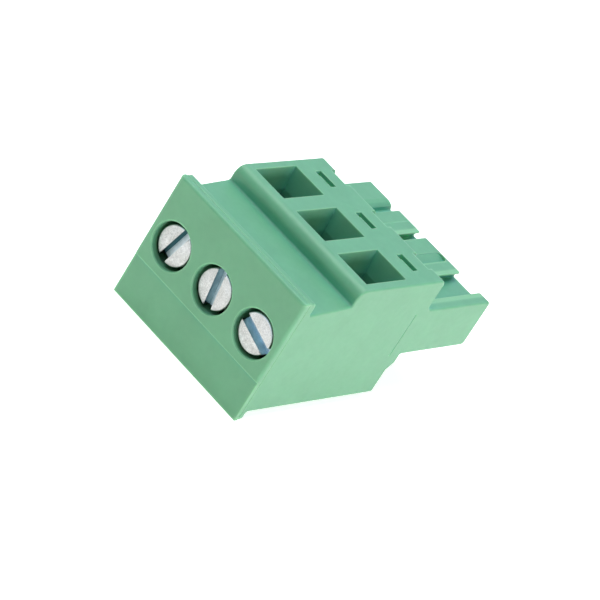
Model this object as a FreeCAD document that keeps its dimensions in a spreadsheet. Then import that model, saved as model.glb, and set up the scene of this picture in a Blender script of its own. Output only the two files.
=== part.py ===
import FreeCAD, Part
import operator
import os
import Sketcher

# A three-pole pluggable terminal block for printed circuit board headers.
#
# Each body is drawn in the plug's working frame, in millimetres: X runs along the row of
# poles from its middle, Y from the face of the front cover to the tip of the nose, and Z
# up from the base of the housing. Conductors go in from above, screws from the front,
# and the nose plugs into the header. Every body then gets the same placement, which puts
# the origin in the middle of the overall length at the lowest edge of the front lip.

POLES = 3

# Name, millimetres, meaning. Each row becomes a named cell of the sheet.
SIZES = (
    ("pole_width", 5.08, "from one pole to the next, and the width of each pole"),
    ("length", 26.0, "from the face of the cover to the tip of the nose"),
    ("axis_height", 5.88, "height of the screws"),
    ("block_rise", 5.74, "top of the block that holds the wire funnels, above the screws"),
    ("lip_drop", 0.75, "how far the front lip hangs below the base"),
    ("lip_rise", 5.07, "top of the front lip above the screws"),
    ("lip_depth", 1.45, "back of the upper front lip"),
    ("lip_foot", 1.2, "back of the lower front lip"),
    ("lip_round", 0.35, "rounding of the lip's edges"),
    ("step_front_rise", 3.82, "sloping step behind the lip, above the screws"),
    ("step_back_rise", 4.21, "step where it meets the block, above the screws"),
    ("block_front", 6.39, "front wall of the block"),
    ("block_round", 0.95, "rounding of the block's front edge"),
    ("block_back", 17.31, "back wall of the block"),
    ("back_round", 0.45, "rounding of the block's back edge"),
    ("foot_round", 0.6, "hollow rounding where the back wall meets the nose"),
    ("nose_rise", 2.66, "upper face of the nose above the screws"),
    ("nose_fall", 1.94, "lower face of the nose below the screws"),
    ("nose_round", 0.35, "rounding of the tip of the nose"),
    ("base_back", 16.94, "back wall of the base"),
    ("ledge_foot", 1.6, "lower end of the ledge below the nose"),
    ("ledge_head", 0.88, "upper end of the ledge below the nose"),
    ("ledge_back", 17.52, "back of the ledge under the nose"),
    ("end_round", 0.16, "rounding round each end face"),
    ("seam_back", 15.98, "place of the witness line on each end face"),
    ("seam_end", 0.24, "upper end of the witness line below the top of the nose"),
    ("seam_width", 0.12, "width of the witness line"),
    ("seam_depth", 0.05, "depth of the witness line"),
    ("cover_thickness", 0.65, "thickness of the front cover"),
    ("cover_hole", 3.94, "screw hole in the cover"),
    ("cover_rim", 0.08, "bevel round each screw hole"),
    ("foot_setback", 0.22, "how far the cover's foot stands back"),
    ("crease_drop", 2.72, "bevelled step across the cover, below the screws"),
    ("crease_bevel", 0.08, "height of that bevel"),
    ("cover_edge", 0.25, "rounding of the cover's outer edges"),
    ("seam_bevel", 0.06, "bevels along the seam between cover and housing"),
    ("tongue_depth", 1.3, "how far the cover's tongues reach into a chamber"),
    ("tongue_height", 0.8, "height of each tongue"),
    ("tongue_gap", 0.05, "clearance of a tongue in its chamber"),
    ("funnel_width", 3.55, "mouth of a wire funnel along the row"),
    ("funnel_front", 7.73, "front of the mouth"),
    ("funnel_back", 12.8, "back of the mouth"),
    ("funnel_depth", 2.0, "depth of the sloping part of a funnel"),
    ("throat_width", 2.75, "width of a funnel below its slopes"),
    ("throat_back", 12.45, "back of a funnel below its slopes"),
    ("slot_width", 1.94, "probe slot and back groove along the row"),
    ("slot_setback", 2.13, "back of a probe slot, in front of the back wall"),
    ("slot_length", 0.46, "length of a probe slot, front to back"),
    ("slot_depth", 4.3, "depth of a probe slot, down to the contact"),
    ("slot_corner", 0.52, "width of the slot's keyed end"),
    ("slot_key", 0.3, "how far the keyed end reaches forward"),
    ("slot_bevel", 0.1, "depth of the bevel along the slot's front"),
    ("groove_depth", 0.76, "depth of the upright grooves in the back wall"),
    ("coding_depth", 0.8, "depth of a coding slot"),
    ("coding_lip", 0.12, "thickness of the lips over a coding slot"),
    ("coding_undercut", 0.45, "how far a coding slot reaches under its lips"),
    ("coding_left", 1.11, "left wall of a coding slot from the pole"),
    ("coding_right", 1.36, "right wall of a coding slot from the pole"),
    ("coding_start", 0.75, "start of the coding slots behind the back wall"),
    ("key_left", 0.4, "left side of the fixed coding keys from the pole"),
    ("valley_depth", 0.66, "depth of the valley beside the rounded key"),
    ("valley_floor", 0.25, "width of that valley's floor"),
    ("valley_side", 0.6, "width of that valley's sloping side"),
    ("recess_width", 1.1, "width of the sloping recess beside the middle key"),
    ("recess_shallow", 0.06, "depth of that recess on its shallow side"),
    ("recess_deep", 0.34, "depth of that recess on its deep side"),
    ("recess_end", 0.4, "distance of that recess from the tip"),
    ("recess_corner", 0.45, "rounding of that recess's end, seen from above"),
    ("corner_cut", 0.22, "bevels at the tip corners of the coding lips"),
    ("pole_line_width", 0.1, "width of the fine line between two poles on the nose"),
    ("pole_line_depth", 0.04, "depth of that line"),
    ("socket_width", 3.5, "pin socket along the row"),
    ("socket_height", 2.65, "pin socket, upright"),
    ("socket_bevel", 0.3, "lead-in round each pin socket"),
    ("chamber_gap", 0.05, "clearance round a clamp sleeve"),
    ("strip_gap", 0.05, "clearance beside a contact"),
    ("sleeve_width", 4.0, "clamp sleeve along the row"),
    ("sleeve_height", 5.8, "clamp sleeve, upright"),
    ("sleeve_wall", 0.45, "sheet of the clamp sleeve"),
    ("sleeve_collar", 1.2, "threaded wall of the clamp sleeve"),
    ("sleeve_opening", 5.05, "clear length inside the clamp sleeve"),
    ("sleeve_round", 0.35, "rounding of the clamp sleeve's corners"),
    ("grip_depth", 0.15, "depth of the grip grooves in the clamp sleeve"),
    ("grip_width", 0.4, "width of a grip groove"),
    ("grip_spacing", 1.3, "from one grip groove to the next"),
    ("thread_size", 2.9, "screw thread, outside"),
    ("thread_gap", 0.05, "radial clearance of the screw in the sleeve"),
    ("head_size", 3.35, "screw head"),
    ("head_recess", 0.4, "how far a fully entered screw's head sits behind the cover's face"),
    ("head_length", 2.0, "length of the screw head"),
    ("head_bevel", 0.12, "bevel of the screw head"),
    ("slot_cut_width", 0.8, "driver slot"),
    ("slot_cut_depth", 0.85, "depth of the driver slot"),
    ("tip_bevel", 0.4, "bevel of the screw's tip"),
    ("tip_gap", 0.04, "clearance between the screw's tip and the bar"),
    ("collar_gap", 0.15, "clearance between the bar and the open sleeve's collar"),
    ("bar_front", 7.6, "front face of the current bar"),
    ("strip_thickness", 0.7, "sheet of the contact"),
    ("strip_width", 2.4, "width of the contact"),
    ("strip_fall", 4.58, "underside of the contact's run, below the screws"),
    ("bar_reach", 0.42, "how far the current bar stands above the sleeve"),
    ("back_wall", 2.24, "wall of the base behind the contact's riser"),
    ("bend_round", 0.35, "inner rounding of the contact's bends"),
    ("fork_start", 0.6, "from the riser to where the fork's arms leave the strip"),
    ("fork_base", 2.3, "length of the strip under the fork's arms"),
    ("fork_lips", 1.3, "length of the flared tips of the arms"),
    ("fork_cover", 1.3, "how far the arms end behind the tip of the nose"),
    ("fork_gap", 0.8, "gap between the arms where they grip a pin"),
    ("fork_arm", 0.45, "thickness of a fork arm"),
    ("fork_flare", 0.25, "how far the tips of the arms spread"),
    ("fork_height", 2.45, "height of the fork"),
    ("screw_1_out", 0.0, "how far the first screw stands backed out"),
    ("screw_2_out", 0.04, "how far the second screw stands backed out"),
    ("screw_3_out", 0.14, "how far the third screw stands backed out"),
)

# Turn of each screw's driver slot from upright, in degrees.
SLOT_TURNS = (16.3, -8.4, 107.5)

# Corners of the rounded key's flank, across and down, as shares of a coding slot's depth.
KEY_FLANK = ((0.0, 0.0), (0.45, 0.17), (0.85, 0.42))

OPERATIONS = {
    "+": operator.add,
    "-": operator.sub,
    "*": operator.mul,
    "/": operator.truediv,
}


class Linked:
    """A length, and the sheet expression that keeps it tied to the named sizes."""

    def __init__(self, text, value):
        self.text = text
        self.value = value

    def __add__(self, other):
        return combined(self, "+", other)

    def __radd__(self, other):
        return combined(other, "+", self)

    def __sub__(self, other):
        return combined(self, "-", other)

    def __rsub__(self, other):
        return combined(other, "-", self)

    def __mul__(self, other):
        return combined(self, "*", other)

    def __rmul__(self, other):
        return combined(other, "*", self)

    def __truediv__(self, other):
        return combined(self, "/", other)

    def __neg__(self):
        return combined(0, "-", self)


def linked(number):
    """The number itself if it is tied to the sheet already, else a fixed one."""
    if isinstance(number, Linked):
        return number
    return Linked(repr(float(number)), float(number))


def combined(left, sign, right):
    """The sum, difference, product or quotient of two tied lengths."""
    left = linked(left)
    right = linked(right)
    text = "(" + left.text + " " + sign + " " + right.text + ")"
    return Linked(text, OPERATIONS[sign](left.value, right.value))


class Names:
    """Holds one tied length for each named size."""


def make_sheet(doc):
    """Writes the sizes into a sheet and gives back their tied lengths."""
    sheet = doc.addObject("Spreadsheet::Sheet", "Sizes")
    names = Names()
    for row, (alias, millimetres, meaning) in enumerate(SIZES, start=1):
        sheet.set("A" + str(row), meaning)
        sheet.set("B" + str(row), str(millimetres))
        sheet.setAlias("B" + str(row), alias)
        setattr(names, alias, Linked("Sizes." + alias, millimetres))
    doc.recompute()
    return names


def add_derived(s):
    """Lengths that several pieces share, worked out once from the named sizes."""
    s.half_row = s.pole_width * POLES / 2
    s.first_pole = -(s.pole_width * (POLES - 1) / 2)
    s.body_top = s.axis_height + s.block_rise
    s.lip_top = s.axis_height + s.lip_rise
    s.nose_top = s.axis_height + s.nose_rise
    s.nose_base = s.axis_height - s.nose_fall
    s.crease_height = s.axis_height - s.crease_drop
    s.chamber_low = s.axis_height - s.sleeve_height / 2 - s.chamber_gap
    s.chamber_high = s.axis_height + s.sleeve_height / 2 + s.chamber_gap
    s.collar_back = s.bar_front - s.collar_gap
    s.sleeve_back = s.collar_back + s.sleeve_opening + s.sleeve_wall
    s.bar_back = s.bar_front + s.strip_thickness
    s.strip_base = s.axis_height - s.strip_fall
    s.bar_top = s.axis_height + s.sleeve_height / 2 + s.bar_reach
    s.riser_back = s.base_back - s.back_wall
    s.fork_root = s.riser_back + s.fork_start
    s.fork_foot = s.fork_root + s.fork_base
    s.fork_tip = s.length - s.fork_cover
    s.fork_pinch = s.fork_tip - s.fork_lips
    s.strip_half = s.strip_width / 2
    s.passage_half = s.strip_half + s.strip_gap
    s.slot_back = s.block_back - s.slot_setback
    s.slot_front = s.slot_back - s.slot_length
    s.socket_low = s.axis_height - s.socket_height / 2
    s.socket_high = s.axis_height + s.socket_height / 2
    s.fork_low = s.axis_height - s.fork_height / 2
    s.coding_floor = s.nose_top - s.coding_depth
    s.screw_length = s.bar_front - s.tip_gap - s.head_recess


def set_size(item, name, length):
    """Ties one property of a document object to the sheet."""
    item.setExpression(name, linked(length).text)


def new_body(doc, s, name, x=0, y=0, z=0, turn=0):
    """An empty body, placed from the working frame, and turned about the row's depth."""
    body = doc.addObject("PartDesign::Body", name)
    body.Label = name
    place = FreeCAD.Vector(linked(x).value, linked(y).value, linked(z).value)
    body.Placement = FreeCAD.Placement(place, FreeCAD.Rotation(FreeCAD.Vector(0, 1, 0), turn))
    set_size(body, "Placement.Base.x", x)
    set_size(body, "Placement.Base.y", y - s.length / 2)
    set_size(body, "Placement.Base.z", z + s.lip_drop)
    return body


def origin_part(body, role):
    """One of the body's own origin planes or axes."""
    for part in body.Origin.OriginFeatures:
        if part.Role == role:
            return part
    raise RuntimeError("no origin part " + role)


def new_sketch(body, role, name, level=None):
    """A sketch on one of the body's origin planes, moved along that plane's normal."""
    sketch = body.newObject("Sketcher::SketchObject", name)
    sketch.AttachmentSupport = [(origin_part(body, role), "")]
    sketch.MapMode = "FlatFace"
    if level is not None:
        set_size(sketch, "AttachmentOffset.Base.z", level)
    return sketch


def side_sketch(body, name):
    """A sketch in the upright plane through the middle of the row: Y across, Z up."""
    return new_sketch(body, "YZ_Plane", name)


def front_sketch(body, name, depth):
    """A sketch seen from the front at a given depth: X across, Z up."""
    return new_sketch(body, "XZ_Plane", name, -linked(depth))


def plan_sketch(body, name, height):
    """A sketch seen from above at a given height: X across, Y up."""
    return new_sketch(body, "XY_Plane", name, linked(height))


def tie_point(sketch, geometry, point, across, up):
    """Holds one point of a sketch at a tied place."""
    for kind, length in (("DistanceX", linked(across)), ("DistanceY", linked(up))):
        rule = Sketcher.Constraint(kind, geometry, point, length.value)
        number = sketch.addConstraint(rule)
        sketch.setExpression("Constraints[" + str(number) + "]", length.text)


def outline(sketch, points):
    """A closed run of straight lines through tied points."""
    first = sketch.GeometryCount
    count = len(points)
    corners = []
    for across, up in points:
        corners.append(FreeCAD.Vector(linked(across).value, linked(up).value, 0))
    for index in range(count):
        line = Part.LineSegment(corners[index], corners[(index + 1) % count])
        sketch.addGeometry(line, False)
    for index, (across, up) in enumerate(points):
        following = first + (index + 1) % count
        sketch.addConstraint(Sketcher.Constraint("Coincident", first + index, 2, following, 1))
        tie_point(sketch, first + index, 1, across, up)


def rectangle(sketch, left, right, low, high):
    """A rectangle between tied sides."""
    outline(sketch, [(left, low), (right, low), (right, high), (left, high)])


def circle(sketch, across, up, diameter):
    """A circle with a tied centre and diameter."""
    middle = FreeCAD.Vector(linked(across).value, linked(up).value, 0)
    radius = linked(diameter).value / 2
    number = sketch.addGeometry(Part.Circle(middle, FreeCAD.Vector(0, 0, 1), radius), False)
    tie_point(sketch, number, 3, across, up)
    rule = sketch.addConstraint(Sketcher.Constraint("Diameter", number, 2 * radius))
    sketch.setExpression("Constraints[" + str(rule) + "]", linked(diameter).text)


def pad(body, sketch, name, length, both_ways=False, backwards=False):
    """Grows material from a sketch."""
    feature = body.newObject("PartDesign::Pad", name)
    feature.Profile = sketch
    set_size(feature, "Length", length)
    feature.Midplane = both_ways
    feature.Reversed = backwards
    body.Document.recompute()
    return feature


def pocket(body, sketch, name, depth, backwards=False, both_ways=False):
    """Cuts material from a sketch, and makes sure that something was cut."""
    before = body.Shape.Volume
    feature = body.newObject("PartDesign::Pocket", name)
    feature.Profile = sketch
    set_size(feature, "Length", depth)
    feature.Reversed = backwards
    feature.Midplane = both_ways
    body.Document.recompute()
    if body.Shape.Volume > before - 0.0001:
        raise RuntimeError(name + " cuts nothing")
    return feature


def repeat(body, name, features, role, length, count):
    """Repeats features at even steps along one of the body's own axes."""
    pattern = body.newObject("PartDesign::LinearPattern", name)
    pattern.Originals = features
    pattern.Direction = (origin_part(body, role), [""])
    set_size(pattern, "Length", length)
    pattern.Occurrences = count
    body.Tip = pattern
    body.Document.recompute()
    return pattern


def along_row(body, s, name, features):
    """Repeats the features of the first pole at every pole."""
    return repeat(body, name, features, "X_Axis", s.pole_width * (POLES - 1), POLES)


def at(number, length):
    """Whether a measured number is the given length."""
    return abs(number - linked(length).value) < 0.001


def row_edges(shape, places):
    """Names of the edges that run along the row through the given Y and Z places."""
    found = []
    for number, edge in enumerate(shape.Edges, start=1):
        ends = [vertex.Point for vertex in edge.Vertexes]
        if len(ends) < 2 or abs(ends[0].x - ends[1].x) < 0.001:
            continue
        for y, z in places:
            if all(at(end.y, y) and at(end.z, z) for end in ends):
                found.append("Edge" + str(number))
    return found


def end_edges(shape, half_row, front):
    """Names of the edges round both end faces, apart from those at the front."""
    found = []
    for number, edge in enumerate(shape.Edges, start=1):
        ends = [vertex.Point for vertex in edge.Vertexes]
        at_end = all(at(abs(end.x), half_row) for end in ends)
        if at_end and max(end.y for end in ends) > front.value + 0.001:
            found.append("Edge" + str(number))
    return found


def flat_edges(shape, depth):
    """Names of the edges that lie at one depth."""
    found = []
    for number, edge in enumerate(shape.Edges, start=1):
        if all(at(vertex.Y, depth) for vertex in edge.Vertexes):
            found.append("Edge" + str(number))
    return found


def upright_edges(shape, places):
    """Names of the straight upright edges at the given X and Y places."""
    found = []
    for number, edge in enumerate(shape.Edges, start=1):
        for x, y in places:
            if all(at(vertex.X, x) and at(vertex.Y, y) for vertex in edge.Vertexes):
                found.append("Edge" + str(number))
    return found


def front_edges(shape, half_row):
    """Names of the edges at both ends of a plate's front face."""
    found = []
    for number, edge in enumerate(shape.Edges, start=1):
        ends = [vertex.Point for vertex in edge.Vertexes]
        if all(at(abs(end.x), half_row) and at(end.y, 0) for end in ends):
            found.append("Edge" + str(number))
    return found


def ease(body, kind, name, edges, measure, size):
    """Takes the sharpness off edges of the body as it stands."""
    if not edges:
        raise RuntimeError(name + " has no edges")
    base = body.Tip
    feature = body.newObject(kind, name)
    feature.Base = (base, edges)
    set_size(feature, measure, size)
    body.Tip = feature
    body.Document.recompute()


def fillet(body, name, edges, radius):
    """Rounds edges."""
    ease(body, "PartDesign::Fillet", name, edges, "Radius", radius)


def chamfer(body, name, edges, size):
    """Bevels edges."""
    ease(body, "PartDesign::Chamfer", name, edges, "Size", size)


def housing_shell(body, s):
    """The outside of the housing: one side profile along the row, with its roundings."""
    profile = side_sketch(body, "side_profile")
    outline(profile, [
        (s.cover_thickness, -s.lip_drop),
        (s.lip_foot, -s.lip_drop),
        (s.lip_foot, 0),
        (s.base_back, 0),
        (s.base_back, s.nose_base - s.ledge_foot),
        (s.ledge_back, s.nose_base - s.ledge_head),
        (s.ledge_back, s.nose_base),
        (s.length, s.nose_base),
        (s.length, s.nose_top),
        (s.block_back, s.nose_top),
        (s.block_back, s.body_top),
        (s.block_front, s.body_top),
        (s.block_front, s.axis_height + s.step_back_rise),
        (s.lip_depth, s.axis_height + s.step_front_rise),
        (s.lip_depth, s.lip_top),
        (s.cover_thickness, s.lip_top),
    ])
    pad(body, profile, "block", s.half_row * 2, both_ways=True)
    roundings = (
        ("round_block_front", [(s.block_front, s.body_top)], s.block_round),
        ("round_block_back", [(s.block_back, s.body_top)], s.back_round),
        ("round_nose_foot", [(s.block_back, s.nose_top)], s.foot_round),
        ("round_nose_tip", [(s.length, s.nose_top), (s.length, s.nose_base)], s.nose_round),
        ("round_lip", [(s.lip_depth, s.lip_top), (s.lip_foot, -s.lip_drop)], s.lip_round),
    )
    for name, places, radius in roundings:
        fillet(body, name, row_edges(body.Tip.Shape, places), radius)
    fillet(body, "round_ends", end_edges(body.Tip.Shape, s.half_row, s.cover_thickness), s.end_round)
    chamfer(body, "seam", flat_edges(body.Tip.Shape, s.cover_thickness), s.seam_bevel)


def wire_funnel(body, s):
    """Sloping mouth over the first pole, and the throat that opens into its chamber."""
    x = s.first_pole
    floor = s.body_top - s.funnel_depth
    mouth = plan_sketch(body, "funnel_mouth", s.body_top)
    rectangle(mouth, x - s.funnel_width / 2, x + s.funnel_width / 2, s.funnel_front, s.funnel_back)
    waist = plan_sketch(body, "funnel_waist", floor)
    throat_front = s.bar_back + s.strip_gap
    sides = (x - s.throat_width / 2, x + s.throat_width / 2)
    rectangle(waist, sides[0], sides[1], throat_front, s.throat_back)
    funnel = body.newObject("PartDesign::SubtractiveLoft", "funnel")
    funnel.Profile = mouth
    funnel.Sections = [waist]
    body.Document.recompute()
    lower = plan_sketch(body, "throat_outline", floor)
    rectangle(lower, sides[0], sides[1], throat_front, s.throat_back)
    throat = pocket(body, lower, "throat", floor - s.chamber_high + s.chamber_gap)
    return [funnel, throat]


def sleeve_chamber(body, s):
    """Room for the first clamp sleeve and its screw, open to the front."""
    x = s.first_pole
    half = s.sleeve_width / 2 + s.chamber_gap
    mouth = front_sketch(body, "chamber_outline", s.cover_thickness)
    rectangle(mouth, x - half, x + half, s.chamber_low, s.chamber_high)
    depth = s.sleeve_back + s.chamber_gap - s.cover_thickness
    return [pocket(body, mouth, "chamber", depth)]


def contact_passage(body, s):
    """Way for the first contact: under the chamber, up to the socket, and over the bar."""
    x = s.first_pole
    sides = (x - s.passage_half, x + s.passage_half)
    lower = front_sketch(body, "passage_outline", s.cover_thickness)
    rectangle(lower, sides[0], sides[1], s.strip_base, s.socket_high)
    depth = s.riser_back + s.strip_gap - s.cover_thickness
    passage = pocket(body, lower, "passage", depth)
    upper = front_sketch(body, "bar_seat_outline", s.cover_thickness)
    rectangle(upper, sides[0], sides[1], s.chamber_high - s.chamber_gap, s.bar_top + s.strip_gap)
    seat = pocket(body, upper, "bar_seat", s.bar_back - s.cover_thickness)
    return [passage, seat]


def pin_socket(body, s):
    """Socket for the first header pin, from the tip of the nose to the contact's riser."""
    x = s.first_pole
    half = s.socket_width / 2
    mouth = front_sketch(body, "socket_outline", s.length)
    rectangle(mouth, x - half, x + half, s.socket_low, s.socket_high)
    back = s.fork_root - s.strip_gap
    hole = pocket(body, mouth, "socket", s.length - back, backwards=True)
    outer = front_sketch(body, "lead_in_outer", s.length)
    wide = half + s.socket_bevel
    rectangle(outer, x - wide, x + wide, s.socket_low - s.socket_bevel, s.socket_high + s.socket_bevel)
    inner = front_sketch(body, "lead_in_inner", s.length - s.socket_bevel)
    rectangle(inner, x - half, x + half, s.socket_low, s.socket_high)
    bevel = body.newObject("PartDesign::SubtractiveLoft", "lead_in")
    bevel.Profile = outer
    bevel.Sections = [inner]
    body.Document.recompute()
    link = front_sketch(body, "link_outline", back)
    low = s.socket_low - s.bend_round
    rectangle(link, x - s.passage_half, x + s.passage_half, low, s.socket_high)
    joining = pocket(body, link, "link", back - s.riser_back, backwards=True)
    return [hole, bevel, joining]


def probe_slot(body, s):
    """Keyed slot behind the first funnel, with a bevel along its front."""
    x = s.first_pole
    left = x - s.slot_width / 2
    right = x + s.slot_width / 2
    mouth = plan_sketch(body, "probe_slot_outline", s.body_top)
    outline(mouth, [
        (left, s.slot_front - s.slot_key),
        (left + s.slot_corner, s.slot_front - s.slot_key),
        (left + s.slot_corner, s.slot_front),
        (right, s.slot_front),
        (right, s.slot_back),
        (left, s.slot_back),
    ])
    slot = pocket(body, mouth, "probe_slot", s.slot_depth)
    flank = side_sketch(body, "slot_bevel_outline")
    outline(flank, [
        (s.slot_front - s.slot_key, s.body_top),
        (s.slot_front, s.body_top - s.slot_bevel),
        (s.slot_front, s.body_top),
    ])
    set_size(flank, "AttachmentOffset.Base.z", left + s.slot_corner)
    bevel = pocket(body, flank, "slot_front_bevel", s.slot_width - s.slot_corner, backwards=True)
    return [slot, bevel]


def back_groove(body, s):
    """Upright groove in the back wall behind the first probe slot."""
    x = s.first_pole
    half = s.slot_width / 2
    face = plan_sketch(body, "back_groove_outline", s.body_top)
    rectangle(face, x - half, x + half, s.block_back - s.groove_depth, s.block_back + s.foot_round)
    depth = s.body_top - s.nose_top
    return [pocket(body, face, "back_groove", depth)]


def nose_cut(body, s, name, points, start=None, end=None):
    """Cuts one outline along the nose, from behind the back wall to the tip."""
    back = s.length if end is None else end
    front = s.block_back + s.coding_start if start is None else start
    face = front_sketch(body, name + "_outline", back)
    outline(face, points)
    return pocket(body, face, name, back - front, backwards=True)


def undercut_flank(s, wall, reach):
    """One flank of a coding slot, from above its lip down to its floor."""
    under = s.nose_top - s.coding_lip
    return [
        (wall, s.nose_top + s.coding_lip),
        (wall, under),
        (wall + reach, under),
        (wall + reach, s.coding_floor),
    ]


def straight_flank(s, wall):
    """A flank with no lip, from above the nose down to the floor of a coding slot."""
    return [
        (wall, s.nose_top + s.coding_lip),
        (wall, s.coding_floor),
    ]


def rounded_key_slot(body, s, pole):
    """Valley beside the first pole's key, whose flank is rounded over."""
    left = pole - s.key_left
    above = s.nose_top + s.coding_lip
    low = s.nose_top - s.valley_depth
    foot = left + s.coding_depth
    floor = foot + s.valley_floor
    right = floor + s.valley_side
    points = [(left, above)]
    for across, down in KEY_FLANK:
        points.append((left + s.coding_depth * across, s.nose_top - s.coding_depth * down))
    points += [(foot, low), (floor, low), (right, s.nose_top), (right, above)]
    nose_cut(body, s, "key_valley", points)


def sloping_recess(body, s, pole):
    """Shallow recess beside the second pole's key, whose floor slopes down to the right."""
    left = pole + s.coding_right
    right = left + s.recess_width
    end = s.length - s.recess_end
    nose_cut(body, s, "sloping_recess", [
        (left, s.nose_top + s.coding_lip),
        (left, s.nose_top - s.recess_shallow),
        (right, s.nose_top - s.recess_deep),
        (right, s.nose_top + s.coding_lip),
    ], end=end)
    corners = upright_edges(body.Tip.Shape, [(left, end), (right, end)])
    fillet(body, "recess_corners", corners, s.recess_corner)


def lip_corner(body, s, name, corner, inwards):
    """Bevels the tip corner of one coding lip, towards +X or -X as inwards is 1 or -1."""
    plan = plan_sketch(body, name + "_outline", s.nose_top)
    cut = s.corner_cut
    outline(plan, [
        (corner, s.length - cut - s.nose_round / 2),
        (corner + cut * inwards, s.length),
        (corner + cut * inwards, s.length + cut),
        (corner - cut * inwards, s.length + cut),
        (corner - cut * inwards, s.length - cut - s.nose_round / 2),
    ])
    pocket(body, plan, name, s.coding_lip)


def pole_lines(body, s):
    """Fine lines along the nose between neighbouring poles."""
    for number in range(1, POLES):
        middle = s.first_pole + s.pole_width * (number - 0.5)
        half = s.pole_line_width / 2
        nose_cut(body, s, "pole_line_" + str(number), [
            (middle - half, s.nose_top),
            (middle, s.nose_top - s.pole_line_depth),
            (middle + half, s.nose_top),
            (middle, s.nose_top + s.pole_line_depth),
        ], start=s.block_back + s.foot_round)


def coding_features(body, s):
    """The nose's coding: a rounded key, one half-filled slot and one open slot."""
    first = s.first_pole
    middle = s.first_pole + s.pole_width
    last = -s.first_pole
    rounded_key_slot(body, s, first)
    half = undercut_flank(s, middle - s.coding_left, -s.coding_undercut)
    half += reversed(straight_flank(s, middle - s.key_left))
    nose_cut(body, s, "half_slot", half)
    both = undercut_flank(s, last - s.coding_left, -s.coding_undercut)
    both += reversed(undercut_flank(s, last + s.coding_right, s.coding_undercut))
    nose_cut(body, s, "open_slot", both)
    sloping_recess(body, s, middle)
    lip_corner(body, s, "half_slot_corner", middle - s.coding_left, -1)
    lip_corner(body, s, "open_slot_left_corner", last - s.coding_left, -1)
    lip_corner(body, s, "open_slot_right_corner", last + s.coding_right, 1)
    pole_lines(body, s)


def witness_lines(body, s):
    """Fine upright line on each end face, where two halves of the mould meet."""
    line = side_sketch(body, "witness_outline")
    top = s.nose_top - s.seam_end
    rectangle(line, s.seam_back, s.seam_back + s.seam_width, s.nose_base, top)
    set_size(line, "AttachmentOffset.Base.z", s.half_row)
    near = pocket(body, line, "witness_line", s.seam_depth)
    other = body.newObject("PartDesign::Mirrored", "witness_mirror")
    other.Originals = [near]
    other.MirrorPlane = (origin_part(body, "YZ_Plane"), [""])
    body.Tip = other
    body.Document.recompute()


def make_housing(doc, s):
    """The green moulded housing."""
    body = new_body(doc, s, "housing")
    housing_shell(body, s)
    features = sleeve_chamber(body, s)
    features += contact_passage(body, s)
    features += wire_funnel(body, s)
    features += pin_socket(body, s)
    features += probe_slot(body, s)
    features += back_groove(body, s)
    along_row(body, s, "poles", features)
    coding_features(body, s)
    witness_lines(body, s)
    return body


def make_cover(doc, s):
    """The front cover, with a crease across it and tongues that close the chambers."""
    body = new_body(doc, s, "front_cover")
    profile = side_sketch(body, "cover_profile")
    rectangle(profile, 0, s.cover_thickness, -s.lip_drop, s.lip_top)
    pad(body, profile, "plate", s.half_row * 2, both_ways=True)
    edges = row_edges(body.Tip.Shape, [(0, s.lip_top), (0, -s.lip_drop)])
    edges += front_edges(body.Tip.Shape, s.half_row)
    fillet(body, "round_front", edges, s.cover_edge)
    chamfer(body, "seam", flat_edges(body.Tip.Shape, s.cover_thickness), s.seam_bevel)
    step = side_sketch(body, "step_outline")
    outline(step, [
        (0, s.crease_height),
        (s.foot_setback, s.crease_height - s.crease_bevel),
        (s.foot_setback, -s.lip_drop),
        (-s.foot_setback, -s.lip_drop),
        (-s.foot_setback, s.crease_height),
    ])
    pocket(body, step, "step", s.half_row * 2, both_ways=True)
    hole = front_sketch(body, "hole_outline", 0)
    circle(hole, s.first_pole, s.axis_height, s.cover_hole)
    screw_hole = pocket(body, hole, "screw_hole", s.cover_thickness)
    half = s.sleeve_width / 2 + s.chamber_gap - s.tongue_gap
    x = s.first_pole
    tongues = front_sketch(body, "tongue_outline", s.cover_thickness)
    low = s.chamber_low + s.tongue_gap
    high = s.chamber_high - s.tongue_gap
    rectangle(tongues, x - half, x + half, low, low + s.tongue_height)
    rectangle(tongues, x - half, x + half, high - s.tongue_height, high)
    tongue = pad(body, tongues, "tongue", s.tongue_depth, backwards=True)
    along_row(body, s, "poles", [screw_hole, tongue])
    rims = [
        "Edge" + str(number)
        for number, edge in enumerate(body.Tip.Shape.Edges, start=1)
        if len(edge.Vertexes) == 1 and at(edge.Vertexes[0].Y, 0)
    ]
    chamfer(body, "rims", rims, s.cover_rim)
    return body


def make_screw(doc, s, pole):
    """A slotted clamping screw. Its own frame has the screw's axis as Y, from the head."""
    x = s.first_pole + s.pole_width * pole
    name = "screw_" + str(pole + 1)
    y = s.head_recess - getattr(s, name + "_out")
    body = new_body(doc, s, name, x, y, s.axis_height, SLOT_TURNS[pole])
    head = s.head_size / 2
    shank = s.thread_size / 2
    profile = plan_sketch(body, "screw_profile", 0)
    outline(profile, [
        (0, 0),
        (head - s.head_bevel, 0),
        (head, s.head_bevel),
        (head, s.head_length),
        (shank, s.head_length),
        (shank, s.screw_length - s.tip_bevel),
        (shank - s.tip_bevel, s.screw_length),
        (0, s.screw_length),
    ])
    turned = body.newObject("PartDesign::Revolution", "turned")
    turned.Profile = profile
    turned.ReferenceAxis = (origin_part(body, "Y_Axis"), [""])
    turned.Angle = 360
    doc.recompute()
    across = front_sketch(body, "driver_slot_outline", 0)
    half = s.slot_cut_width / 2
    rectangle(across, -half, half, -head, head)
    pocket(body, across, "driver_slot", s.slot_cut_depth)
    return body


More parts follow.
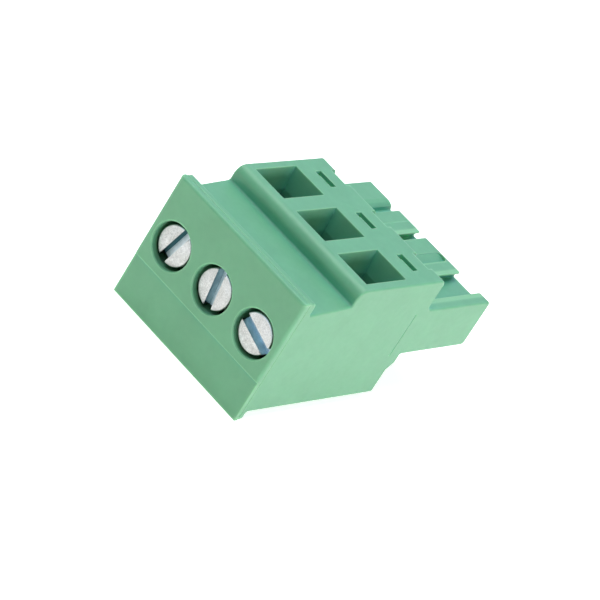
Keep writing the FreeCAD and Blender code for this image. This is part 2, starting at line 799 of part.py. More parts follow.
def make_sleeve(doc, s, pole):
    """A clamp sleeve: a ring open up and down, with a threaded collar towards the front."""
    x = s.first_pole + s.pole_width * pole
    body = new_body(doc, s, "sleeve_" + str(pole + 1), x, 0, s.axis_height)
    outer = s.sleeve_width / 2
    inner = outer - s.sleeve_wall
    front = s.collar_back - s.sleeve_collar
    grip = s.collar_back + s.sleeve_opening
    ring = plan_sketch(body, "ring_outline", 0)
    rectangle(ring, -outer, outer, front, s.sleeve_back)
    rectangle(ring, -inner, inner, s.collar_back, grip)
    pad(body, ring, "ring", s.sleeve_height, both_ways=True)
    corners = []
    for number, edge in enumerate(body.Tip.Shape.Edges, start=1):
        ends = [vertex.Point for vertex in edge.Vertexes]
        upright = at(abs(ends[0].z - ends[-1].z), s.sleeve_height)
        if upright and at(abs(ends[0].x), outer):
            corners.append("Edge" + str(number))
    fillet(body, "round_corners", corners, s.sleeve_round)
    thread = front_sketch(body, "thread_outline", front)
    circle(thread, 0, 0, s.thread_size + s.thread_gap * 2)
    pocket(body, thread, "thread_hole", s.sleeve_collar)
    groove = side_sketch(body, "grip_outline")
    middle = -s.grip_spacing
    outline(groove, [
        (grip, middle - s.grip_width / 2),
        (grip + s.grip_depth, middle),
        (grip, middle + s.grip_width / 2),
    ])
    cut = pocket(body, groove, "grip_groove", inner * 2, both_ways=True)
    repeat(body, "grip", [cut], "Z_Axis", s.grip_spacing * 2, 3)
    return body


def strip_profile(body, s):
    """The bent strip of a contact: bar, run, riser and foot, with its six bends."""
    sheet = s.strip_thickness
    side = side_sketch(body, "strip_outline")
    outline(side, [
        (s.bar_front, s.strip_base),
        (s.riser_back, s.strip_base),
        (s.riser_back, s.fork_low),
        (s.fork_foot, s.fork_low),
        (s.fork_foot, s.fork_low + sheet),
        (s.riser_back - sheet, s.fork_low + sheet),
        (s.riser_back - sheet, s.strip_base + sheet),
        (s.bar_back, s.strip_base + sheet),
        (s.bar_back, s.bar_top),
        (s.bar_front, s.bar_top),
    ])
    pad(body, side, "strip", s.strip_width, both_ways=True)
    inside = [
        (s.riser_back, s.fork_low),
        (s.riser_back - sheet, s.strip_base + sheet),
        (s.bar_back, s.strip_base + sheet),
    ]
    outside = [
        (s.bar_front, s.strip_base),
        (s.riser_back, s.strip_base),
        (s.riser_back - sheet, s.fork_low + sheet),
    ]
    fillet(body, "inner_bends", row_edges(body.Tip.Shape, inside), s.bend_round)
    fillet(body, "outer_bends", row_edges(body.Tip.Shape, outside), s.bend_round + sheet)


def fork_arm(sketch, s, side):
    """Plan of one spring arm of the fork, on the side given by +1 or -1."""
    root = s.strip_half
    pinch = s.fork_gap / 2
    outline(sketch, [
        (root * side, s.fork_root),
        (root * side, s.fork_foot),
        ((pinch + s.fork_arm) * side, s.fork_pinch),
        ((pinch + s.fork_arm + s.fork_flare) * side, s.fork_tip),
        ((pinch + s.fork_flare) * side, s.fork_tip),
        (pinch * side, s.fork_pinch),
        ((root - s.fork_arm) * side, s.fork_foot),
        ((root - s.fork_arm) * side, s.fork_root),
    ])


def make_contact(doc, s, pole):
    """A contact: the current bar in the sleeve, joined by a bent strip to the fork."""
    x = s.first_pole + s.pole_width * pole
    body = new_body(doc, s, "contact_" + str(pole + 1), x)
    strip_profile(body, s)
    arms = plan_sketch(body, "fork_outline", s.fork_low)
    fork_arm(arms, s, 1)
    fork_arm(arms, s, -1)
    pad(body, arms, "fork", s.fork_height)
    return body


def check_document(doc, bodies):
    """Stops if any object failed or any piece is not one sound solid."""
    for item in doc.Objects:
        if "Invalid" in item.State or "Error" in item.State:
            raise RuntimeError(item.Label + " failed to build")
    for body in bodies:
        shape = body.Shape
        if shape.isNull() or not shape.isValid() or len(shape.Solids) != 1:
            raise RuntimeError(body.Label + " is not one sound solid")


def main():
    """Builds the plug and writes each piece to its own file."""
    doc = FreeCAD.newDocument("pluggable_terminal_block")
    s = make_sheet(doc)
    add_derived(s)
    bodies = [make_housing(doc, s), make_cover(doc, s)]
    for pole in range(POLES):
        bodies.append(make_screw(doc, s, pole))
        bodies.append(make_sleeve(doc, s, pole))
        bodies.append(make_contact(doc, s, pole))
    doc.recompute()
    check_document(doc, bodies)
    os.makedirs("parts", exist_ok=True)
    for body in bodies:
        body.Shape.exportStep("parts/" + body.Label + ".step")
        print(body.Label, round(body.Shape.Volume, 2), "cubic millimetres")


main()
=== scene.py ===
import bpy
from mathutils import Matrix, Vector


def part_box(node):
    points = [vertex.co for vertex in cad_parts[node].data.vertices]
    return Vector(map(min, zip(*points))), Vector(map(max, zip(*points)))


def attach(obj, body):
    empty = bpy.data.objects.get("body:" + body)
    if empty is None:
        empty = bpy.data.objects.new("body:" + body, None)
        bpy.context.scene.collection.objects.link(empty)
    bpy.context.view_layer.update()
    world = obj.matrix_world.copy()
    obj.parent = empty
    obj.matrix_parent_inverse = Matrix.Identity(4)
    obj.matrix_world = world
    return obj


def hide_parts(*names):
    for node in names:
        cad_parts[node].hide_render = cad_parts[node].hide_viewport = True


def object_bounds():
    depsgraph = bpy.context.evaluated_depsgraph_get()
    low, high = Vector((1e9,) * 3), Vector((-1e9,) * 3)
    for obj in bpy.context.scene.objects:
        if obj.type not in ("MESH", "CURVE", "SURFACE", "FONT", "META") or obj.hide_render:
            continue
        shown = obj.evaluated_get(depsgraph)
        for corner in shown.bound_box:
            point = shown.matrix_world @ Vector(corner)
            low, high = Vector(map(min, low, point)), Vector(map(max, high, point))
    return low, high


bl_info = {
    "name": "Pluggable Terminal Block",
    "version": (1, 0, 0),
    "blender": (4, 5, 0),
    "location": "3D View > Sidebar > Terminal Block",
    "description": "Dresses the terminal block's solids in green plastic and plated metal",
    "category": "Object",
}

import math

import bmesh
import bpy
from bpy.props import FloatProperty, FloatVectorProperty, PointerProperty
from mathutils import Matrix, Vector

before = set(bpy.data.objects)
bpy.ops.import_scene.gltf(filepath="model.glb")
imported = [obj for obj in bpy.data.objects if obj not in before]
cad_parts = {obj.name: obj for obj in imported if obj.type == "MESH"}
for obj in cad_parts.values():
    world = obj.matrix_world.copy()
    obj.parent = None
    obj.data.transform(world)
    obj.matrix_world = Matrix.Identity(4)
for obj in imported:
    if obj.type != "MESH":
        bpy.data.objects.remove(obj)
CAD_LOW, CAD_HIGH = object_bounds()

POLES = (1, 2, 3)
MM = 0.001

# Points closer than this are one point.
CLOSE = 0.0001 * MM

# Straight pieces that stand for one full circle on a screw, and for a head's rounded edge.
ROUND_STEPS = 72
THREAD_STEPS = 24
EDGE_STEPS = 3

# Edges that turn by more than this stay sharp on the new pieces.
SHARP_ANGLE = math.radians(32)

# One pitch of the thread, from groove to groove: height as a share of the thread's depth,
# and place as a share of the pitch.
THREAD_SHAPE = ((0.0, 0.0), (0.0, 0.12), (1.0, 0.46), (1.0, 0.64), (0.0, 1.0))

# Places of a head's materials after the plating of its outside.
WALL_PLACE = 1
FLOOR_PLACE = 2

# Numbers of the colour mixer's sockets, whose names aren't unique.
MIX_FACTOR = 0
MIX_FIRST = 6
MIX_SECOND = 7
MIX_RESULT = 2

WHITE = (1.0, 1.0, 1.0)


class PlasticSettings(bpy.types.PropertyGroup):
    """The green moulding compound of the housing and the cover, with the painted highlights on its
    edges and the painted shade and light in its hollows and gaps.
    """

    colour: FloatVectorProperty(
        name="Colour",
        description="Green of the moulding compound",
        subtype="COLOR",
        size=3,
        min=0.0,
        max=1.0,
        default=(0.118, 0.348, 0.182),
    )
    roughness: FloatProperty(
        name="Roughness",
        description="Satin of the moulded skin",
        subtype="FACTOR",
        min=0.0,
        max=1.0,
        default=0.42,
    )
    edge_round: FloatProperty(
        name="Edge Rounding",
        description="Rounding of the small moulded edges",
        unit="LENGTH",
        default=0.12 * MM,
    )
    # Painted highlights: thin walls and sharp edges that no wall shades are blended towards a
    # paler green, standing in for light on them and through them.
    rim_highlight_width: FloatProperty(
        name="Rim Width",
        description="How far an edge's paleness reaches",
        unit="LENGTH",
        default=0.4 * MM,
    )
    rim_highlight_colour: FloatVectorProperty(
        name="Rim Colour",
        description="Paler green of the thin, see-through edges",
        subtype="COLOR",
        size=3,
        min=0.0,
        max=1.0,
        default=(0.23, 0.5, 0.27),
    )
    rim_highlight_strength: FloatProperty(
        name="Rim Strength",
        description="How pale the edges are",
        subtype="FACTOR",
        min=0.0,
        max=1.0,
        default=0.9,
    )
    # Painted shade: the green is darkened and tinted bluish in hollows, the more so the more walls
    # lie within this reach.
    painted_shade_reach: FloatProperty(
        name="Hollow Reach",
        description="Distance within which walls tint a hollow",
        unit="LENGTH",
        default=3.0 * MM,
    )
    painted_shade_tint: FloatVectorProperty(
        name="Hollow Tint",
        description="Factor on each colour in the deepest hollows",
        subtype="COLOR",
        size=3,
        min=0.0,
        max=2.0,
        default=(0.55, 1.08, 1.52),
    )
    # Painted light: the green is made paler in narrow gaps, standing in for light that bounces
    # between their walls.
    painted_gap_light_reach: FloatProperty(
        name="Gap Reach",
        description="Distance within which walls make a narrow gap",
        unit="LENGTH",
        default=1.5 * MM,
    )
    painted_gap_light_tint: FloatVectorProperty(
        name="Gap Tint",
        description="Factor on each colour in the narrowest gaps",
        subtype="COLOR",
        size=3,
        min=0.0,
        max=2.0,
        default=(1.7, 1.95, 1.9),
    )


class ScrewSettings(bpy.types.PropertyGroup):
    """The slotted clamping screws."""

    head_size: FloatProperty(
        name="Head Diameter",
        description="Diameter of a screw head",
        unit="LENGTH",
        default=3.35 * MM,
    )
    head_length: FloatProperty(
        name="Head Length",
        description="Length of a screw head",
        unit="LENGTH",
        default=2.0 * MM,
    )
    head_edge: FloatProperty(
        name="Head Edge",
        description="Bevel round the face of a screw head",
        unit="LENGTH",
        default=0.12 * MM,
    )
    slot_width: FloatProperty(
        name="Slot Width",
        description="Width of the driver slot",
        unit="LENGTH",
        default=0.8 * MM,
    )
    slot_edge: FloatProperty(
        name="Slot Edge",
        description="Rounding along the edges of the driver slot",
        unit="LENGTH",
        default=0.05 * MM,
    )
    slot_depth: FloatProperty(
        name="Slot Depth",
        description="Depth of the driver slot",
        unit="LENGTH",
        default=0.85 * MM,
    )
    thread_size: FloatProperty(
        name="Thread Diameter",
        description="Diameter over the crests of the thread",
        unit="LENGTH",
        default=2.9 * MM,
    )
    thread_pitch: FloatProperty(
        name="Thread Pitch",
        description="Distance from one crest to the next",
        unit="LENGTH",
        default=0.5 * MM,
    )
    thread_depth: FloatProperty(
        name="Thread Depth",
        description="Depth of the thread's grooves",
        unit="LENGTH",
        default=0.27 * MM,
    )
    tip_bevel: FloatProperty(
        name="Tip Bevel",
        description="Bevel of the screw's tip",
        unit="LENGTH",
        default=0.4 * MM,
    )
    slot_turns: FloatVectorProperty(
        name="Slot Turns",
        description="Turn of each driver slot about its screw, from upright",
        subtype="EULER",
        unit="ROTATION",
        size=3,
        default=(math.radians(16.3), math.radians(-8.4), math.radians(107.5)),
    )
    colour: FloatVectorProperty(
        name="Colour",
        description="Colour of the dull zinc plating",
        subtype="COLOR",
        size=3,
        min=0.0,
        max=1.0,
        default=(0.54, 0.54, 0.52),
    )
    wall_colour: FloatVectorProperty(
        name="Slot Wall Colour",
        description="Colour of the driver slots' smooth walls",
        subtype="COLOR",
        size=3,
        min=0.0,
        max=1.0,
        default=(0.27, 0.36, 0.39),
    )
    # Painted reflection: the same wall metal made lighter or darker for each slot, standing in for
    # what each slot reflects.
    painted_wall_shades: FloatVectorProperty(
        name="Slot Wall Shades",
        description="How bright the walls of each driver slot are",
        size=3,
        min=0.0,
        max=2.0,
        default=(0.3, 0.95, 1.2),
    )
    floor_colour: FloatVectorProperty(
        name="Slot Floor Colour",
        description="Colour of the driver slots' dull floors",
        subtype="COLOR",
        size=3,
        min=0.0,
        max=1.0,
        default=(0.74, 0.82, 0.83),
    )


class MetalSettings(bpy.types.PropertyGroup):
    """The plated metal inside the housing."""

    sleeve_colour: FloatVectorProperty(
        name="Sleeve Colour",
        description="Colour of the zinc plated clamp sleeves",
        subtype="COLOR",
        size=3,
        min=0.0,
        max=1.0,
        default=(0.5, 0.51, 0.53),
    )
    contact_colour: FloatVectorProperty(
        name="Contact Colour",
        description="Colour of the tin plated contacts",
        subtype="COLOR",
        size=3,
        min=0.0,
        max=1.0,
        default=(0.62, 0.61, 0.58),
    )


class StudioSettings(bpy.types.PropertyGroup):
    """Camera, lamps and floor."""

    azimuth: FloatProperty(
        name="Azimuth",
        description="Where the camera stands, from the front face towards the right end",
        unit="ROTATION",
        default=math.radians(28.672),
    )
    elevation: FloatProperty(
        name="Elevation",
        description="How high the camera stands",
        unit="ROTATION",
        default=math.radians(27.116),
    )
    roll: FloatProperty(
        name="Roll",
        description="How far the camera leans over",
        unit="ROTATION",
        default=math.radians(32.532),
    )
    distance: FloatProperty(
        name="Distance",
        description="From the camera to the point that it looks at",
        unit="LENGTH",
        default=284.434 * MM,
    )
    aim: FloatVectorProperty(
        name="Aim",
        description="Point that the camera looks at",
        subtype="XYZ",
        unit="LENGTH",
        size=3,
        default=(0.274 * MM, -0.810 * MM, 4.556 * MM),
    )
    focal_length: FloatProperty(
        name="Focal Length",
        description="Focal length of the lens, in millimetres",
        default=216.25,
    )
    horizon_level: FloatProperty(
        name="Horizon Level",
        description="Light from low down all round",
        default=0.48,
    )
    sky_level: FloatProperty(
        name="Sky Level",
        description="Light from high up all round",
        default=0.35,
    )
    gloss_level: FloatProperty(
        name="Reflected Sky",
        description="Brightness of the sky in reflections",
        default=1.6,
    )
    key_power: FloatProperty(
        name="Key Lamp",
        description="Lamp behind and above the object",
        unit="POWER",
        default=3.1,
    )
    front_power: FloatProperty(
        name="Front Lamp",
        description="Low lamp in front of the object",
        unit="POWER",
        default=0.18,
    )
    end_power: FloatProperty(
        name="End Lamp",
        description="Low lamp beside the object's right end",
        unit="POWER",
        default=2.6,
    )
    floor_size: FloatProperty(
        name="Floor Size",
        description="Side of the floor",
        unit="LENGTH",
        default=4.0,
    )
    floor_glow: FloatProperty(
        name="Floor Glow",
        description="Light that the floor gives off by itself, like a light table",
        default=0.7,
    )


class Paint:
    """The nodes of a material or a world under construction."""

    def __init__(self, owner, output="ShaderNodeOutputMaterial"):
        self.owner = owner
        owner.use_nodes = True
        self.tree = owner.node_tree
        self.tree.nodes.clear()
        self.output = self.add(output)

    def add(self, kind, **settings):
        """A node, with its own settings."""
        node = self.tree.nodes.new(kind)
        for setting, value in settings.items():
            setattr(node, setting, value)
        return node

    def join(self, outlet, node, inlet):
        """A link from an output socket to a node's input, given by name or number."""
        self.tree.links.new(outlet, node.inputs[inlet])

    def feed(self, source, node, inlet):
        """A plain number, a colour or another node's output for a node's input."""
        if isinstance(source, tuple):
            node.inputs[inlet].default_value = (*source, 1.0)
        elif isinstance(source, float):
            node.inputs[inlet].default_value = source
        else:
            self.join(source, node, inlet)

    def noise(self, scale, detail=2.0, roughness=0.5, stretch=None):
        """Noise over the piece, of a scale given per metre, squeezed by a factor on each axis."""
        place = self.add("ShaderNodeTexCoord").outputs["Object"]
        if stretch is not None:
            squeezed = self.add("ShaderNodeMapping")
            squeezed.inputs["Scale"].default_value = stretch
            self.join(place, squeezed, "Vector")
            place = squeezed.outputs["Vector"]
        node = self.add("ShaderNodeTexNoise")
        self.join(place, node, "Vector")
        node.inputs["Scale"].default_value = scale
        node.inputs["Detail"].default_value = detail
        node.inputs["Roughness"].default_value = roughness
        return node.outputs["Fac"]

    def openness(self, reach, samples, inside=False):
        """How little of the piece lies within reach of a spot, in front of it or behind it."""
        node = self.add(
            "ShaderNodeAmbientOcclusion",
            samples=samples,
            inside=inside,
            only_local=True,
        )
        node.inputs["Distance"].default_value = reach
        return node.outputs["AO"]

    def ramp(self, factor, low, high, dark, light):
        """Goes from one colour to another between two levels of a factor."""
        node = self.add("ShaderNodeValToRGB")
        self.join(factor, node, "Fac")
        node.color_ramp.elements[0].position = low
        node.color_ramp.elements[0].color = (*dark, 1.0)
        node.color_ramp.elements[1].position = high
        node.color_ramp.elements[1].color = (*light, 1.0)
        return node.outputs["Color"]

    def shades(self, factor, colour, darkest, lightest, low=0.3, high=0.7):
        """Goes from a darker to a lighter copy of a colour between two levels of a factor."""
        return self.ramp(factor, low, high, scaled(colour, darkest), scaled(colour, lightest))

    def blend(self, kind, factor, first, second):
        """Two colours blended. The factor and the second colour may be outputs or values."""
        node = self.add("ShaderNodeMix", data_type="RGBA", blend_type=kind)
        self.feed(factor, node, MIX_FACTOR)
        self.feed(first, node, MIX_FIRST)
        self.feed(second, node, MIX_SECOND)
        return node.outputs[MIX_RESULT]

    def spread(self, factor, low, high):
        """A factor from 0 to 1 brought to a range of its own."""
        node = self.add("ShaderNodeMapRange")
        self.join(factor, node, "Value")
        node.inputs["To Min"].default_value = low
        node.inputs["To Max"].default_value = high
        return node.outputs["Result"]

    def fade(self, value, full, none, power=1.0):
        """Falls from 1 to 0 between two levels of a value, along a curve."""
        span = self.add("ShaderNodeMapRange")
        self.join(value, span, "Value")
        span.inputs["From Min"].default_value = none
        span.inputs["From Max"].default_value = full
        return self.calculate("POWER", span.outputs["Result"], power)

    def calculate(self, operation, first, second):
        """A calculation on two values, of which the second may be a plain number."""
        node = self.add("ShaderNodeMath", operation=operation)
        self.feed(first, node, 0)
        self.feed(second, node, 1)
        return node.outputs["Value"]

    def either(self, first, second):
        """The higher of two values."""
        return self.calculate("MAXIMUM", first, second)

    def times(self, value, factor):
        """A value times a plain number or another value."""
        return self.calculate("MULTIPLY", value, factor)

    def bump(self, height, strength, distance, before=None):
        """Relief of a depth in metres, on top of any relief made before."""
        node = self.add("ShaderNodeBump")
        node.inputs["Strength"].default_value = strength
        node.inputs["Distance"].default_value = distance
        self.join(height, node, "Height")
        if before is not None:
            self.join(before, node, "Normal")
        return node.outputs["Normal"]

    def choose(self, factor, first, second):
        """One shader where the factor is 0, the other where it is 1."""
        node = self.add("ShaderNodeMixShader")
        self.join(factor, node, "Fac")
        self.join(first, node, 1)
        self.join(second, node, 2)
        return node.outputs["Shader"]


def scaled(colour, factor):
    """A lighter or darker copy of a colour."""
    return tuple(min(channel * factor, 1.0) for channel in colour)


def cloudy_green(paint, settings):
    """The moulding compound's own green, faintly cloudy and mottled."""
    clouds = paint.noise(scale=420.0, detail=3.0)
    shade = paint.shades(clouds, tuple(settings.colour), darkest=0.96, lightest=1.04)
    mottle = paint.ramp(
        paint.noise(scale=1600.0, detail=3.0),
        low=0.3,
        high=0.7,
        dark=(0.96, 0.975, 0.98),
        light=(1.04, 1.02, 1.02),
    )
    return paint.blend("MULTIPLY", 1.0, shade, mottle)


def painted_shade_and_gap_light(paint, settings, hollow):
    """A factor on the green: painted shade, darker and bluish, in hollows, and painted light,
    paler, in narrow gaps.
    """
    deep = paint.ramp(hollow, low=0.3, high=0.95, dark=tuple(settings.painted_shade_tint), light=WHITE)
    gap = paint.openness(settings.painted_gap_light_reach, samples=16)
    narrow = paint.fade(gap, full=0.2, none=0.42)
    return paint.blend("MIX", narrow, deep, tuple(settings.painted_gap_light_tint))


def painted_rim_highlights(paint, settings, hollow, rounded):
    """A mask for painted highlights: thin walls, as if lit through, and sharp edges that no wall
    shades.
    """
    thin = paint.openness(settings.rim_highlight_width, samples=16, inside=True)
    # Painted glow on thin walls, as if light came through them.
    clear = paint.times(paint.fade(thin, full=0.48, none=0.98, power=3.0), factor=0.8)
    lean = paint.add("ShaderNodeVectorMath", operation="DOT_PRODUCT")
    paint.join(rounded, lean, 0)
    paint.join(paint.add("ShaderNodeNewGeometry").outputs["Normal"], lean, 1)
    # Painted highlight on sharp edges, left out where a hollow is shaded.
    sharp = paint.fade(lean.outputs["Value"], full=0.93, none=0.997)
    bare = paint.fade(hollow, full=0.85, none=0.55)
    rim_highlights = paint.either(clear, paint.times(sharp, bare))
    return paint.times(rim_highlights, settings.rim_highlight_strength)


def green_plastic(settings):
    """Satin green plastic with a fine moulded grain, painted highlights on its edges, painted
    shade in its hollows and painted light in its narrow gaps.
    """
    paint = Paint(bpy.data.materials.new("moulded_green"))
    skin = paint.add("ShaderNodeBsdfPrincipled")
    edges = paint.add("ShaderNodeBevel", samples=8)
    edges.inputs["Radius"].default_value = settings.edge_round
    rounded = edges.outputs["Normal"]
    hollow = paint.openness(settings.painted_shade_reach, samples=8)
    # Painted shade in hollows and painted light in narrow gaps, multiplied into the green.
    painted_tints = painted_shade_and_gap_light(paint, settings, hollow)
    shade = paint.blend("MULTIPLY", 1.0, cloudy_green(paint, settings), painted_tints)
    rim_highlights = painted_rim_highlights(paint, settings, hollow, rounded)
    # Painted highlights: the green is blended towards the paler rim green.
    shade = paint.blend("MIX", rim_highlights, shade, tuple(settings.rim_highlight_colour))
    paint.join(shade, skin, "Base Color")
    rough = settings.roughness
    satin = paint.spread(paint.noise(scale=2600.0), low=rough - 0.05, high=rough + 0.05)
    paint.join(satin, skin, "Roughness")
    waves = paint.bump(paint.noise(scale=700.0), strength=0.12, distance=0.02 * MM, before=rounded)
    grain = paint.bump(paint.noise(scale=9000.0), strength=0.15, distance=0.01 * MM, before=waves)
    paint.join(grain, skin, "Normal")
    skin.inputs["IOR"].default_value = 1.5
    skin.inputs["Subsurface Weight"].default_value = 0.4
    skin.inputs["Subsurface Radius"].default_value = (0.4, 1.0, 0.6)
    skin.inputs["Subsurface Scale"].default_value = 0.45 * MM
    paint.join(skin.outputs["BSDF"], paint.output, "Surface")
    return paint.owner


def bare_metal(name):
    """A new metal: its nodes, and the shader that its colour and marks go to."""
    paint = Paint(bpy.data.materials.new(name))
    metal = paint.add("ShaderNodeBsdfPrincipled")
    metal.inputs["Metallic"].default_value = 1.0
    paint.join(metal.outputs["BSDF"], paint.output, "Surface")
    return paint, metal


def zinc_plating(settings):
    """Dull zinc plating, finely speckled, with faint blotches and pits."""
    paint, metal = bare_metal("zinc_plating")
    grains = paint.noise(scale=9000.0, detail=3.0, roughness=0.7)
    colour = tuple(settings.colour)
    speckle = paint.shades(grains, colour, darkest=0.78, lightest=1.2, low=0.35, high=0.65)
    blotches = paint.ramp(
        paint.noise(scale=1300.0),
        low=0.35,
        high=0.65,
        dark=(0.84, 0.83, 0.81),
        light=WHITE,
    )
    paint.join(paint.blend("MULTIPLY", 1.0, speckle, blotches), metal, "Base Color")
    dull = paint.spread(paint.noise(scale=5200.0, detail=3.0), low=0.38, high=0.62)
    paint.join(dull, metal, "Roughness")
    hollows = paint.noise(scale=7000.0, detail=4.0, roughness=0.6)
    pits = paint.bump(hollows, strength=0.5, distance=0.012 * MM)
    paint.join(pits, metal, "Normal")
    return paint.owner


def plated_metal(name, colour, roughness):
    """Bright plated sheet with fine rolling marks."""
    paint, metal = bare_metal(name)
    marks = paint.noise(scale=1500.0, detail=3.0, stretch=(1.0, 8.0, 1.0))
    paint.join(paint.shades(marks, colour, darkest=0.85, lightest=1.1), metal, "Base Color")
    sheen = paint.spread(marks, low=roughness - 0.08, high=roughness + 0.08)
    paint.join(sheen, metal, "Roughness")
    paint.join(paint.bump(marks, strength=0.2, distance=0.005 * MM), metal, "Normal")
    return paint.owner


def slot_metal(name, colour, roughness):
    """Bluish metal of a driver slot, with marks left by the cutter. Its colour is given per use;
    the walls of each slot get their own brightness, a painted reflection.
    """
    paint, metal = bare_metal(name)
    marks = paint.noise(scale=1400.0)
    paint.join(paint.shades(marks, colour, darkest=0.85, lightest=1.15), metal, "Base Color")
    sheen = paint.spread(marks, low=roughness - 0.06, high=roughness + 0.06)
    paint.join(sheen, metal, "Roughness")
    metal.inputs["Specular Tint"].default_value = (0.4, 0.58, 0.6, 1.0)
    return paint.owner


def dress(piece, *materials):
    """Gives a new piece its materials."""
    for material in materials:
        piece.data.materials.append(material)


def repaint(node, material):
    """Gives a CAD node's object a material in place of its plain one."""
    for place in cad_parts[node].material_slots:
        place.material = material


def revolve(shape, points):
    """Turns a run of points, each a radius and a depth, about the Y axis into a closed skin."""
    corners = [shape.verts.new((radius, depth, 0.0)) for radius, depth in points]
    edges = [shape.edges.new(pair) for pair in zip(corners, corners[1:])]
    bmesh.ops.spin(
        shape,
        geom=corners + edges,
        cent=(0.0, 0.0, 0.0),
        axis=(0.0, 1.0, 0.0),
        angle=2 * math.pi,
        steps=ROUND_STEPS,
    )
    bmesh.ops.remove_doubles(shape, verts=shape.verts, dist=CLOSE)


def cut(shape, place, normal, clear_outer=False):
    """Cuts a shape along a plane, and takes away what lies beyond it where that is asked."""
    bmesh.ops.bisect_plane(
        shape,
        geom=list(shape.verts) + list(shape.edges) + list(shape.faces),
        dist=CLOSE,
        plane_co=place,
        plane_no=normal,
        clear_outer=clear_outer,
    )


def slotted_head(settings):
    """The screw's head, with its driver slot along Z and small bevels."""
    shape = bmesh.new()
    radius = settings.head_size / 2
    bevel = settings.head_edge
    points = [(0.0, 0.0)]
    for step in range(EDGE_STEPS + 1):
        angle = math.pi / 2 * step / EDGE_STEPS
        points.append((radius - bevel + bevel * math.sin(angle), bevel - bevel * math.cos(angle)))
    points += [(radius, settings.head_length), (0.0, settings.head_length)]
    revolve(shape, points)
    half = settings.slot_width / 2
    depth = settings.slot_depth
    cut(shape, (half, 0, 0), (1, 0, 0))
    cut(shape, (-half, 0, 0), (1, 0, 0))
    cut(shape, (0, depth, 0), (0, 1, 0))
    strip = []
    for face in shape.faces:
        middle = face.calc_center_median()
        if abs(middle.x) < half and middle.y < depth:
            strip.append(face)
    bmesh.ops.delete(shape, geom=strip, context="FACES")
    rim = {vert for edge in shape.edges if edge.is_boundary for vert in edge.verts}
    for side in (-half, half):
        wall = [vert for vert in rim if abs(vert.co.x - side) < CLOSE]
        wall.sort(key=lambda vert: math.atan2(vert.co.y - depth / 2, vert.co.z))
        shape.faces.new(wall).material_index = WALL_PLACE
    floor = [vert for vert in rim if abs(vert.co.y - depth) < CLOSE]
    floor.sort(key=lambda vert: math.atan2(vert.co.x, vert.co.z))
    shape.faces.new(floor).material_index = FLOOR_PLACE
    lips = []
    for edge in shape.edges:
        if all(abs(abs(vert.co.x) - half) < CLOSE and vert.co.y < CLOSE for vert in edge.verts):
            lips.append(edge)
    bmesh.ops.bevel(
        shape,
        geom=lips,
        offset=settings.slot_edge,
        segments=2,
        profile=0.5,
        affect="EDGES",
    )
    return shape


def threaded_shank(settings, start, end):
    """A right-handed thread with a bevelled tip, closed at both ends."""
    shape = bmesh.new()
    pitch = settings.thread_pitch
    crest = settings.thread_size / 2
    root = crest - settings.thread_depth
    corners = []
    for height, place in THREAD_SHAPE:
        radius = root + settings.thread_depth * height
        corners.append(shape.verts.new((radius, start + pitch * (place - 1), 0.0)))
    edges = [shape.edges.new(pair) for pair in zip(corners, corners[1:])]
    turns = math.ceil((end - start) / pitch) + 1
    bmesh.ops.spin(
        shape,
        geom=corners + edges,
        cent=(0.0, 0.0, 0.0),
        axis=(0.0, 1.0, 0.0),
        dvec=(0.0, pitch / THREAD_STEPS, 0.0),
        angle=2 * math.pi * turns,
        steps=THREAD_STEPS * turns,
    )
    bmesh.ops.remove_doubles(shape, verts=shape.verts, dist=CLOSE)
    for level, outwards in ((start, -1), (end, 1)):
        cut(shape, (0, level, 0), (0, outwards, 0), clear_outer=True)
    rim = [edge for edge in shape.edges if edge.is_boundary]
    bmesh.ops.holes_fill(shape, edges=rim, sides=0)
    bevel_start = end - settings.tip_bevel
    for vert in shape.verts:
        radius = math.hypot(vert.co.x, vert.co.z)
        allowed = crest - max(vert.co.y - bevel_start, 0.0)
        if radius > allowed:
            vert.co.x *= allowed / radius
            vert.co.z *= allowed / radius
    return shape


def make_piece(name, shapes, place):
    """One piece from closed skins, moved to its place with its object at the origin."""
    mesh = bpy.data.meshes.new(name)
    whole = bmesh.new()
    for shape in shapes:
        bmesh.ops.recalc_face_normals(shape, faces=shape.faces)
        part = bpy.data.meshes.new("part")
        shape.to_mesh(part)
        shape.free()
        whole.from_mesh(part)
        bpy.data.meshes.remove(part)
    bmesh.ops.transform(whole, matrix=place, verts=whole.verts)
    for face in whole.faces:
        face.smooth = True
    whole.to_mesh(mesh)
    whole.free()
    mesh.set_sharp_from_angle(angle=SHARP_ANGLE)
    piece = bpy.data.objects.new(name, mesh)
    bpy.context.scene.collection.objects.link(piece)
    return piece


def shared_material(name, make, *settings):
    """A material made once, then used by every piece that names it."""
    return bpy.data.materials.get(name) or make(*settings)


class TERMINAL_OT_housing(bpy.types.Operator):
    """Finish the moulded housing"""

    bl_idname = "terminal.housing"
    bl_label = "Housing"

    def execute(self, context):
        plastic = shared_material("moulded_green", green_plastic, context.scene.terminal_plastic)
        repaint("housing", plastic)
        return {"FINISHED"}


class TERMINAL_OT_cover(bpy.types.Operator):
    """Finish the front cover"""

    bl_idname = "terminal.cover"
    bl_label = "Front Cover"

    def execute(self, context):
        plastic = shared_material("moulded_green", green_plastic, context.scene.terminal_plastic)
        repaint("front_cover", plastic)
        return {"FINISHED"}


